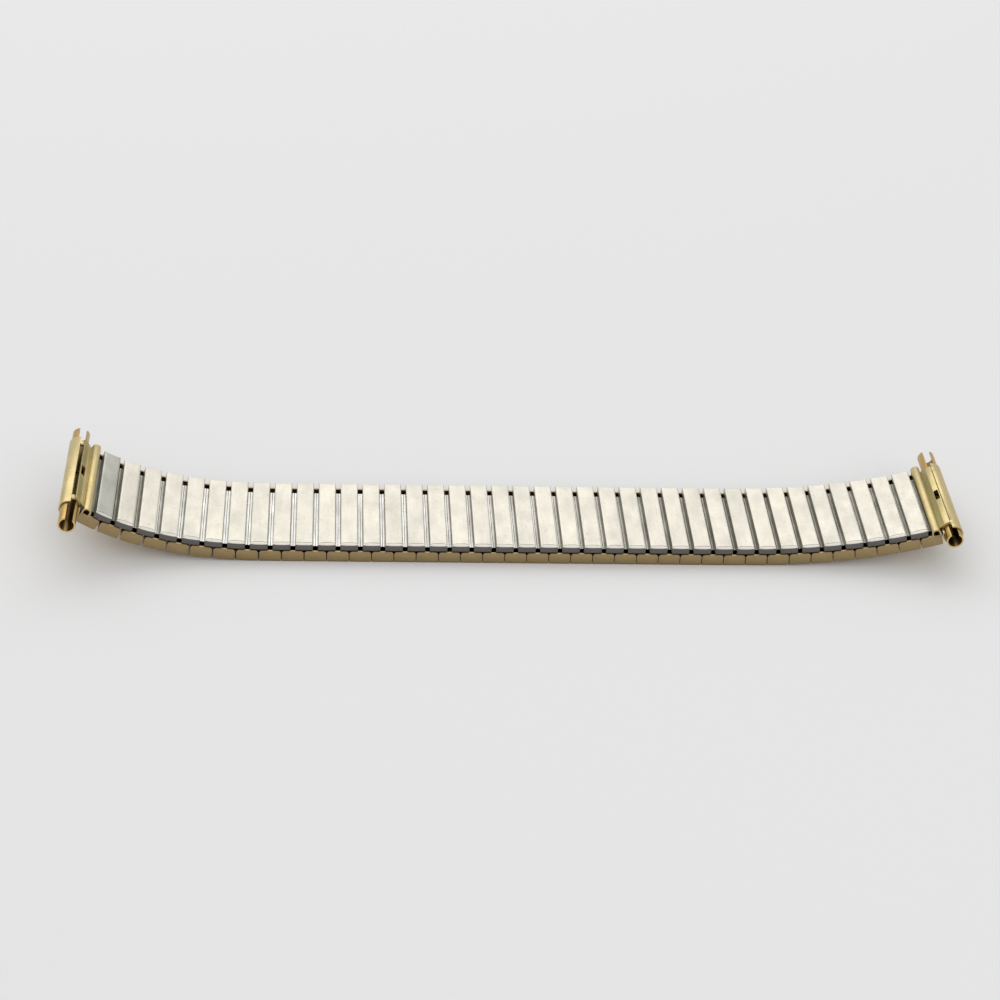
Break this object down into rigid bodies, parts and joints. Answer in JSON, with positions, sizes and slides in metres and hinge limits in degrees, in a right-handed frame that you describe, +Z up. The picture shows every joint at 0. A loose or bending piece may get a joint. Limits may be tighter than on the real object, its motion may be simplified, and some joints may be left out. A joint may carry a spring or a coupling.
{
  "type": "expansion watch band",
  "caption": "Expansion watch band: gold-capped outer links and steel skin links joined by sprung clips, so it stretches and curls, with telescopic spring bar sleeves at both ends.",
  "frame": {"origin": "under the middle of the outline, on the surface that the band lies on", "axes": "+X along the band, +Y across it towards the back sleeves, +Z up out of the skin side"},
  "size_m": [0.13, 0.0238, 0.0104],
  "materials": {
    "pair_metal": "satin steel skin link over a gold-capped steel outer link",
    "gold_cap": "brushed gold-tone cap over a steel housing",
    "skin_steel": "satin stainless steel",
    "clip_steel": "plain spring steel",
    "end_brass": "brushed gold-tone sheet"
  },
  "bodies": {
    "link_pair_01": {"link_pair_01": "pair_metal"},
    "gold_link_02": {"gold_link_02": "gold_cap"},
    "skin_link_02": {"skin_link_02": "skin_steel"},
    "link_pair_03": {"link_pair_03": "pair_metal"},
    "link_pair_04": {"link_pair_04": "pair_metal"},
    "gold_link_05": {"gold_link_05": "gold_cap"},
    "skin_link_05": {"skin_link_05": "skin_steel"},
    "link_pair_06": {"link_pair_06": "pair_metal"},
    "link_pair_07": {"link_pair_07": "pair_metal"},
    "gold_link_08": {"gold_link_08": "gold_cap"},
    "skin_link_08": {"skin_link_08": "skin_steel"},
    "link_pair_09": {"link_pair_09": "pair_metal"},
    "link_pair_10": {"link_pair_10": "pair_metal"},
    "gold_link_11": {"gold_link_11": "gold_cap"},
    "skin_link_11": {"skin_link_11": "skin_steel"},
    "link_pair_12": {"link_pair_12": "pair_metal"},
    "link_pair_13": {"link_pair_13": "pair_metal"},
    "gold_link_14": {"gold_link_14": "gold_cap"},
    "skin_link_14": {"skin_link_14": "skin_steel"},
    "link_pair_15": {"link_pair_15": "pair_metal"},
    "link_pair_16": {"link_pair_16": "pair_metal"},
    "gold_link_17": {"gold_link_17": "gold_cap"},
    "skin_link_17": {"skin_link_17": "skin_steel"},
    "link_pair_18": {"link_pair_18": "pair_metal"},
    "link_pair_19": {"link_pair_19": "pair_metal"},
    "gold_link_20": {"gold_link_20": "gold_cap", "connecting_clips": "clip_steel"},
    "skin_link_20": {"skin_link_20": "skin_steel"},
    "link_pair_21": {"link_pair_21": "pair_metal"},
    "link_pair_22": {"link_pair_22": "pair_metal"},
    "gold_link_23": {"gold_link_23": "gold_cap"},
    "skin_link_23": {"skin_link_23": "skin_steel"},
    "link_pair_24": {"link_pair_24": "pair_metal"},
    "link_pair_25": {"link_pair_25": "pair_metal"},
    "gold_link_26": {"gold_link_26": "gold_cap"},
    "skin_link_26": {"skin_link_26": "skin_steel"},
    "link_pair_27": {"link_pair_27": "pair_metal"},
    "link_pair_28": {"link_pair_28": "pair_metal"},
    "gold_link_29": {"gold_link_29": "gold_cap"},
    "skin_link_29": {"skin_link_29": "skin_steel"},
    "link_pair_30": {"link_pair_30": "pair_metal"},
    "link_pair_31": {"link_pair_31": "pair_metal"},
    "gold_link_32": {"gold_link_32": "gold_cap"},
    "skin_link_32": {"skin_link_32": "skin_steel"},
    "link_pair_33": {"link_pair_33": "pair_metal"},
    "link_pair_34": {"link_pair_34": "pair_metal"},
    "gold_link_35": {"gold_link_35": "gold_cap"},
    "skin_link_35": {"skin_link_35": "skin_steel"},
    "link_pair_36": {"link_pair_36": "pair_metal"},
    "link_pair_37": {"link_pair_37": "pair_metal"},
    "gold_link_38": {"gold_link_38": "gold_cap"},
    "skin_link_38": {"skin_link_38": "skin_steel"},
    "gold_link_39": {"gold_link_39": "gold_cap"},
    "end_piece_left": {"end_piece_left": "end_brass"},
    "end_piece_right": {"end_piece_right": "end_brass"},
    "sleeve_left_front": {"sleeve_left_front": "end_brass"},
    "sleeve_left_back": {"sleeve_left_back": "end_brass"},
    "sleeve_right_front": {"sleeve_right_front": "end_brass"},
    "sleeve_right_back": {"sleeve_right_back": "end_brass"}
  },
  "joints": [
    {"name": "stretch_19", "type": "slide", "parent": "gold_link_20", "child": "link_pair_19", "axis": [-1, 0, 0], "range_m": [0, 0.00105], "stiffness_N_per_m": 1500, "deforming": ["connecting_clips"]},
    {"name": "stretch_18", "type": "slide", "parent": "link_pair_19", "child": "link_pair_18", "axis": [-1, 0, 0], "range_m": [0, 0.00105], "stiffness_N_per_m": 1500},
    {"name": "stretch_17", "type": "slide", "parent": "link_pair_18", "child": "skin_link_17", "axis": [-1, 0, 0], "range_m": [0, 0.00105], "stiffness_N_per_m": 1500},
    {"name": "stretch_16", "type": "slide", "parent": "gold_link_17", "child": "link_pair_16", "axis": [-1, 0, 0], "range_m": [0, 0.00105], "stiffness_N_per_m": 1500},
    {"name": "stretch_15", "type": "slide", "parent": "link_pair_16", "child": "link_pair_15", "axis": [-1, 0, 0], "range_m": [0, 0.00105], "stiffness_N_per_m": 1500},
    {"name": "stretch_14", "type": "slide", "parent": "link_pair_15", "child": "skin_link_14", "axis": [-1, 0, 0], "range_m": [0, 0.00105], "stiffness_N_per_m": 1500},
    {"name": "stretch_13", "type": "slide", "parent": "gold_link_14", "child": "link_pair_13", "axis": [-1, 0, 0], "range_m": [0, 0.00105], "stiffness_N_per_m": 1500},
    {"name": "stretch_12", "type": "slide", "parent": "link_pair_13", "child": "link_pair_12", "axis": [-1, 0, 0], "range_m": [0, 0.00105], "stiffness_N_per_m": 1500},
    {"name": "stretch_11", "type": "slide", "parent": "link_pair_12", "child": "skin_link_11", "axis": [-1, 0, 0], "range_m": [0, 0.00105], "stiffness_N_per_m": 1500},
    {"name": "stretch_10", "type": "slide", "parent": "gold_link_11", "child": "link_pair_10", "axis": [-1, 0, 0], "range_m": [0, 0.00105], "stiffness_N_per_m": 1500},
    {"name": "stretch_09", "type": "slide", "parent": "link_pair_10", "child": "link_pair_09", "axis": [-1, 0, 0], "range_m": [0, 0.00105], "stiffness_N_per_m": 1500},
    {"name": "stretch_08", "type": "slide", "parent": "link_pair_09", "child": "skin_link_08", "axis": [-0.9999, 0, 0.0116], "range_m": [0, 0.00105], "stiffness_N_per_m": 1500},
    {"name": "stretch_07", "type": "slide", "parent": "gold_link_08", "child": "link_pair_07", "axis": [-0.9992, 0, 0.0389], "range_m": [0, 0.00105], "stiffness_N_per_m": 1500},
    {"name": "stretch_06", "type": "slide", "parent": "link_pair_07", "child": "link_pair_06", "axis": [-0.9969, 0, 0.079], "range_m": [0, 0.00105], "stiffness_N_per_m": 1500},
    {"name": "stretch_05", "type": "slide", "parent": "link_pair_06", "child": "skin_link_05", "axis": [-0.9914, 0, 0.1305], "range_m": [0, 0.00105], "stiffness_N_per_m": 1500},
    {"name": "stretch_04", "type": "slide", "parent": "gold_link_05", "child": "link_pair_04", "axis": [-0.9814, 0, 0.1922], "range_m": [0, 0.00105], "stiffness_N_per_m": 1500},
    {"name": "stretch_03", "type": "slide", "parent": "link_pair_04", "child": "link_pair_03", "axis": [-0.9648, 0, 0.263], "range_m": [0, 0.00105], "stiffness_N_per_m": 1500},
    {"name": "stretch_02", "type": "slide", "parent": "link_pair_03", "child": "skin_link_02", "axis": [-0.9399, 0, 0.3415], "range_m": [0, 0.00105], "stiffness_N_per_m": 1500},
    {"name": "stretch_01", "type": "slide", "parent": "gold_link_02", "child": "link_pair_01", "axis": [-0.9046, 0, 0.4262], "range_m": [0, 0.00105], "stiffness_N_per_m": 1500},
    {"name": "stretch_20", "type": "slide", "parent": "skin_link_20", "child": "link_pair_21", "axis": [1, 0, 0], "range_m": [0, 0.00105], "stiffness_N_per_m": 1500},
    {"name": "stretch_21", "type": "slide", "parent": "link_pair_21", "child": "link_pair_22", "axis": [1, 0, 0], "range_m": [0, 0.00105], "stiffness_N_per_m": 1500},
    {"name": "stretch_22", "type": "slide", "parent": "link_pair_22", "child": "gold_link_23", "axis": [1, 0, 0], "range_m": [0, 0.00105], "stiffness_N_per_m": 1500},
    {"name": "stretch_23", "type": "slide", "parent": "skin_link_23", "child": "link_pair_24", "axis": [1, 0, 0], "range_m": [0, 0.00105], "stiffness_N_per_m": 1500},
    {"name": "stretch_24", "type": "slide", "parent": "link_pair_24", "child": "link_pair_25", "axis": [1, 0, 0], "range_m": [0, 0.00105], "stiffness_N_per_m": 1500},
    {"name": "stretch_25", "type": "slide", "parent": "link_pair_25", "child": "gold_link_26", "axis": [1, 0, 0], "range_m": [0, 0.00105], "stiffness_N_per_m": 1500},
    {"name": "stretch_26", "type": "slide", "parent": "skin_link_26", "child": "link_pair_27", "axis": [1, 0, 0], "range_m": [0, 0.00105], "stiffness_N_per_m": 1500},
    {"name": "stretch_27", "type": "slide", "parent": "link_pair_27", "child": "link_pair_28", "axis": [1, 0, 0], "range_m": [0, 0.00105], "stiffness_N_per_m": 1500},
    {"name": "stretch_28", "type": "slide", "parent": "link_pair_28", "child": "gold_link_29", "axis": [1, 0, 0], "range_m": [0, 0.00105], "stiffness_N_per_m": 1500},
    {"name": "stretch_29", "type": "slide", "parent": "skin_link_29", "child": "link_pair_30", "axis": [1, 0, 0.0093], "range_m": [0, 0.00105], "stiffness_N_per_m": 1500},
    {"name": "stretch_30", "type": "slide", "parent": "link_pair_30", "child": "link_pair_31", "axis": [0.9997, 0, 0.0262], "range_m": [0, 0.00105], "stiffness_N_per_m": 1500},
    {"name": "stretch_31", "type": "slide", "parent": "link_pair_31", "child": "gold_link_32", "axis": [0.9988, 0, 0.0482], "range_m": [0, 0.00105], "stiffness_N_per_m": 1500},
    {"name": "stretch_32", "type": "slide", "parent": "skin_link_32", "child": "link_pair_33", "axis": [0.9973, 0, 0.0741], "range_m": [0, 0.00105], "stiffness_N_per_m": 1500},
    {"name": "stretch_33", "type": "slide", "parent": "link_pair_33", "child": "link_pair_34", "axis": [0.9946, 0, 0.1035], "range_m": [0, 0.00105], "stiffness_N_per_m": 1500},
    {"name": "stretch_34", "type": "slide", "parent": "link_pair_34", "child": "gold_link_35", "axis": [0.9907, 0, 0.1359], "range_m": [0, 0.00105], "stiffness_N_per_m": 1500},
    {"name": "stretch_35", "type": "slide", "parent": "skin_link_35", "child": "link_pair_36", "axis": [0.9853, 0, 0.1709], "range_m": [0, 0.00105], "stiffness_N_per_m": 1500},
    {"name": "stretch_36", "type": "slide", "parent": "link_pair_36", "child": "link_pair_37", "axis": [0.9781, 0, 0.2083], "range_m": [0, 0.00105], "stiffness_N_per_m": 1500},
    {"name": "stretch_37", "type": "slide", "parent": "link_pair_37", "child": "gold_link_38", "axis": [0.9688, 0, 0.2477], "range_m": [0, 0.00105], "stiffness_N_per_m": 1500},
    {"name": "stretch_38", "type": "slide", "parent": "skin_link_38", "child": "gold_link_39", "axis": [0.9573, 0, 0.289], "range_m": [0, 0.00105], "stiffness_N_per_m": 1500},
    {"name": "flex_02", "type": "hinge", "parent": "skin_link_02", "child": "gold_link_02", "pos_m": [-0.05741, 0.00005, 0.00573], "axis": [0, 1, 0], "range_deg": [-2.5, 24], "stiffness_Nm_per_rad": 0.02},
    {"name": "flex_05", "type": "hinge", "parent": "skin_link_05", "child": "gold_link_05", "pos_m": [-0.04802, 0.00005, 0.00284], "axis": [0, 1, 0], "range_deg": [-2.5, 24], "stiffness_Nm_per_rad": 0.02},
    {"name": "flex_08", "type": "hinge", "parent": "skin_link_08", "child": "gold_link_08", "pos_m": [-0.03829, 0.00005, 0.00186], "axis": [0, 1, 0], "range_deg": [-2.5, 24], "stiffness_Nm_per_rad": 0.02},
    {"name": "flex_11", "type": "hinge", "parent": "skin_link_11", "child": "gold_link_11", "pos_m": [-0.02855, 0.00005, 0.00179], "axis": [0, 1, 0], "range_deg": [-2.5, 24], "stiffness_Nm_per_rad": 0.02},
    {"name": "flex_14", "type": "hinge", "parent": "skin_link_14", "child": "gold_link_14", "pos_m": [-0.01888, 0.00005, 0.00179], "axis": [0, 1, 0], "range_deg": [-2.5, 24], "stiffness_Nm_per_rad": 0.02},
    {"name": "flex_17", "type": "hinge", "parent": "skin_link_17", "child": "gold_link_17", "pos_m": [-0.00926, 0.00005, 0.00179], "axis": [0, 1, 0], "range_deg": [-2.5, 24], "stiffness_Nm_per_rad": 0.02},
    {"name": "flex_20", "type": "hinge", "parent": "gold_link_20", "child": "skin_link_20", "pos_m": [0.00034, 0.00005, 0.00179], "axis": [0, -1, 0], "range_deg": [-2.5, 24], "stiffness_Nm_per_rad": 0.02},
    {"name": "flex_23", "type": "hinge", "parent": "gold_link_23", "child": "skin_link_23", "pos_m": [0.00994, 0.00005, 0.00179], "axis": [0, -1, 0], "range_deg": [-2.5, 24], "stiffness_Nm_per_rad": 0.02},
    {"name": "flex_26", "type": "hinge", "parent": "gold_link_26", "child": "skin_link_26", "pos_m": [0.01954, 0.00005, 0.00179], "axis": [0, -1, 0], "range_deg": [-2.5, 24], "stiffness_Nm_per_rad": 0.02},
    {"name": "flex_29", "type": "hinge", "parent": "gold_link_29", "child": "skin_link_29", "pos_m": [0.02914, 0.00005, 0.00178], "axis": [0, -1, 0], "range_deg": [-2.5, 24], "stiffness_Nm_per_rad": 0.02},
    {"name": "flex_32", "type": "hinge", "parent": "gold_link_32", "child": "skin_link_32", "pos_m": [0.03874, 0.00005, 0.00198], "axis": [0, -1, 0], "range_deg": [-2.5, 24], "stiffness_Nm_per_rad": 0.02},
    {"name": "flex_35", "type": "hinge", "parent": "gold_link_35", "child": "skin_link_35", "pos_m": [0.04829, 0.00005, 0.00287], "axis": [0, -1, 0], "range_deg": [-2.5, 24], "stiffness_Nm_per_rad": 0.02},
    {"name": "flex_38", "type": "hinge", "parent": "gold_link_38", "child": "skin_link_38", "pos_m": [0.0577, 0.00005, 0.00473], "axis": [0, -1, 0], "range_deg": [-2.5, 24], "stiffness_Nm_per_rad": 0.02},
    {"name": "flex_end_left", "type": "hinge", "parent": "link_pair_01", "child": "end_piece_left", "pos_m": [-0.06088, 0.00005, 0.00756], "axis": [0, 1, 0], "range_deg": [-2.5, 24], "stiffness_Nm_per_rad": 0.02},
    {"name": "flex_end_right", "type": "hinge", "parent": "gold_link_39", "child": "end_piece_right", "pos_m": [0.06063, 0.00005, 0.00555], "axis": [0, -1, 0], "range_deg": [-2.5, 24], "stiffness_Nm_per_rad": 0.02},
    {"name": "slide_left_front", "type": "slide", "parent": "end_piece_left", "child": "sleeve_left_front", "axis": [0, -1, 0], "range_m": [-0.0038, 0.0004]},
    {"name": "slide_left_back", "type": "slide", "parent": "end_piece_left", "child": "sleeve_left_back", "axis": [0, 1, 0], "range_m": [-0.0027, 0.0015]},
    {"name": "slide_right_front", "type": "slide", "parent": "end_piece_right", "child": "sleeve_right_front", "axis": [0, -1, 0], "range_m": [-0.0015, 0.0027]},
    {"name": "slide_right_back", "type": "slide", "parent": "end_piece_right", "child": "sleeve_right_back", "axis": [0, 1, 0], "range_m": [-0.0037, 0.0005]}
  ],
  "couplings": [
    {"joint": "stretch_18", "follows": "stretch_19", "ratio": 1},
    {"joint": "stretch_17", "follows": "stretch_19", "ratio": 1},
    {"joint": "stretch_16", "follows": "stretch_19", "ratio": 1},
    {"joint": "stretch_15", "follows": "stretch_19", "ratio": 1},
    {"joint": "stretch_14", "follows": "stretch_19", "ratio": 1},
    {"joint": "stretch_13", "follows": "stretch_19", "ratio": 1},
    {"joint": "stretch_12", "follows": "stretch_19", "ratio": 1},
    {"joint": "stretch_11", "follows": "stretch_19", "ratio": 1},
    {"joint": "stretch_10", "follows": "stretch_19", "ratio": 1},
    {"joint": "stretch_09", "follows": "stretch_19", "ratio": 1},
    {"joint": "stretch_08", "follows": "stretch_19", "ratio": 1},
    {"joint": "stretch_07", "follows": "stretch_19", "ratio": 1},
    {"joint": "stretch_06", "follows": "stretch_19", "ratio": 1},
    {"joint": "stretch_05", "follows": "stretch_19", "ratio": 1},
    {"joint": "stretch_04", "follows": "stretch_19", "ratio": 1},
    {"joint": "stretch_03", "follows": "stretch_19", "ratio": 1},
    {"joint": "stretch_02", "follows": "stretch_19", "ratio": 1},
    {"joint": "stretch_01", "follows": "stretch_19", "ratio": 1},
    {"joint": "stretch_20", "follows": "stretch_19", "ratio": 1},
    {"joint": "stretch_21", "follows": "stretch_19", "ratio": 1},
    {"joint": "stretch_22", "follows": "stretch_19", "ratio": 1},
    {"joint": "stretch_23", "follows": "stretch_19", "ratio": 1},
    {"joint": "stretch_24", "follows": "stretch_19", "ratio": 1},
    {"joint": "stretch_25", "follows": "stretch_19", "ratio": 1},
    {"joint": "stretch_26", "follows": "stretch_19", "ratio": 1},
    {"joint": "stretch_27", "follows": "stretch_19", "ratio": 1},
    {"joint": "stretch_28", "follows": "stretch_19", "ratio": 1},
    {"joint": "stretch_29", "follows": "stretch_19", "ratio": 1},
    {"joint": "stretch_30", "follows": "stretch_19", "ratio": 1},
    {"joint": "stretch_31", "follows": "stretch_19", "ratio": 1},
    {"joint": "stretch_32", "follows": "stretch_19", "ratio": 1},
    {"joint": "stretch_33", "follows": "stretch_19", "ratio": 1},
    {"joint": "stretch_34", "follows": "stretch_19", "ratio": 1},
    {"joint": "stretch_35", "follows": "stretch_19", "ratio": 1},
    {"joint": "stretch_36", "follows": "stretch_19", "ratio": 1},
    {"joint": "stretch_37", "follows": "stretch_19", "ratio": 1},
    {"joint": "stretch_38", "follows": "stretch_19", "ratio": 1}
  ]
}
